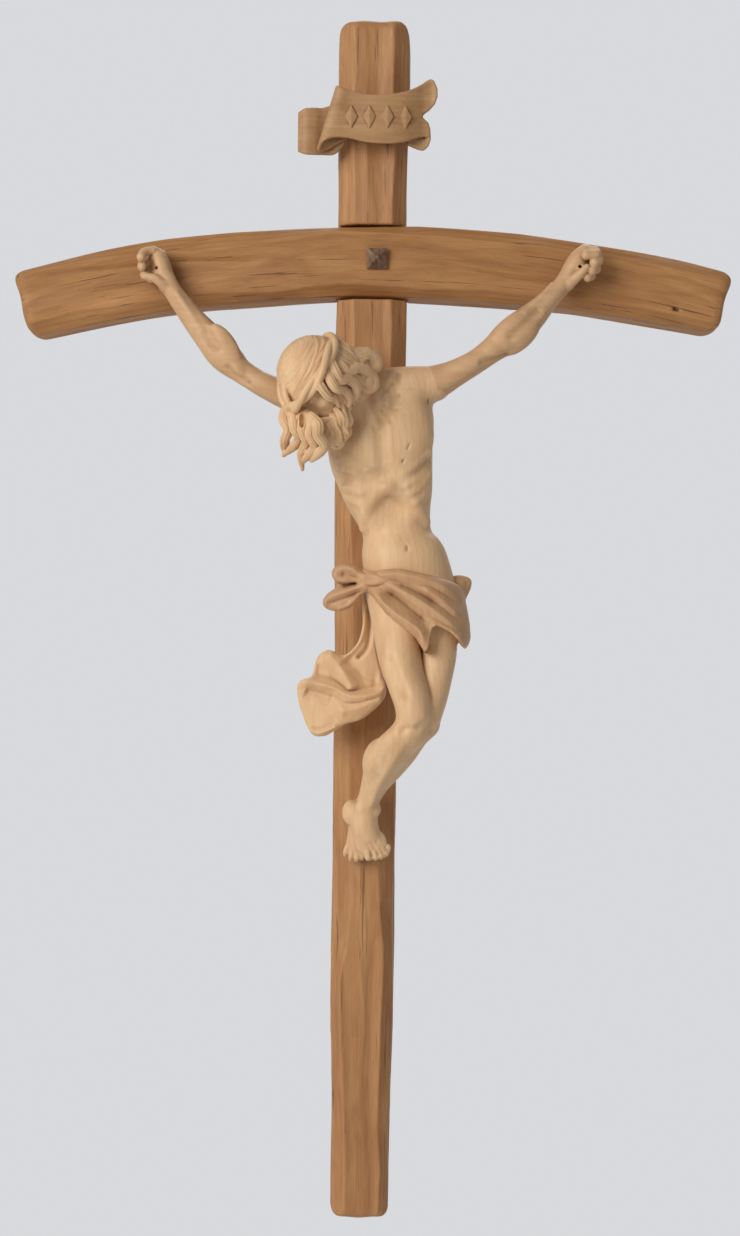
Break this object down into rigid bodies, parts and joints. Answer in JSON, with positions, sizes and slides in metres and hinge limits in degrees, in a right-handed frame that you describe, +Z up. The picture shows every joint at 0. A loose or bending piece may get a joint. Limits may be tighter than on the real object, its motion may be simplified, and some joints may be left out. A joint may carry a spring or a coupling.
{
  "type": "hanging altar crucifix",
  "caption": "Hand-carved wooden cross for a wall, arched crossbeam in a pegged lap joint, ribbon scroll, carved corpus with a flying loincloth, and a ring hanger.",
  "frame": {"origin": "centre of the crossing on the flat back face of the upright", "axes": "+X to the viewer's right along the crossbeam, +Y out of the back towards the wall, +Z up along the upright"},
  "size_m": [0.4214, 0.0978, 0.7],
  "materials": {
    "beam_wood": "hand-hewn, waxed",
    "crossbeam_wood": "hand-hewn, waxed, a little darker",
    "peg_wood": "dark stained",
    "scroll_wood": "carved, waxed",
    "figure_wood": "fine carved, natural waxed",
    "dowel_wood": "turned, bare",
    "dark_iron": "blackened",
    "steel": "zinc plated",
    "brass": "satin"
  },
  "bodies": {
    "cross": {"upright": "beam_wood", "crossbeam": "crossbeam_wood", "crossing_peg": "peg_wood", "scroll": "scroll_wood", "scroll_dowel_1": "dowel_wood", "scroll_dowel_2": "dowel_wood", "corpus_body": "figure_wood", "arm_right": "figure_wood", "arm_left": "figure_wood", "shoulder_dowel_right": "dowel_wood", "shoulder_dowel_left": "dowel_wood", "loincloth_knot": "figure_wood", "loincloth_tail": "figure_wood", "hand_nail_1": "dark_iron", "hand_nail_2": "dark_iron", "lap_screw_1": "steel", "lap_screw_2": "steel", "corpus_screw_1": "steel", "corpus_screw_2": "steel", "hanger_plate": "brass", "hanger_screw_1": "brass", "hanger_screw_2": "brass"},
    "ring": {"hanger_ring": "brass"}
  },
  "joints": [
    {"name": "ring_swing", "type": "hinge", "parent": "cross", "child": "ring", "pos_m": [0, -0.0051, 0.102], "axis": [1, 0, 0], "range_deg": [0, 180]}
  ]
}
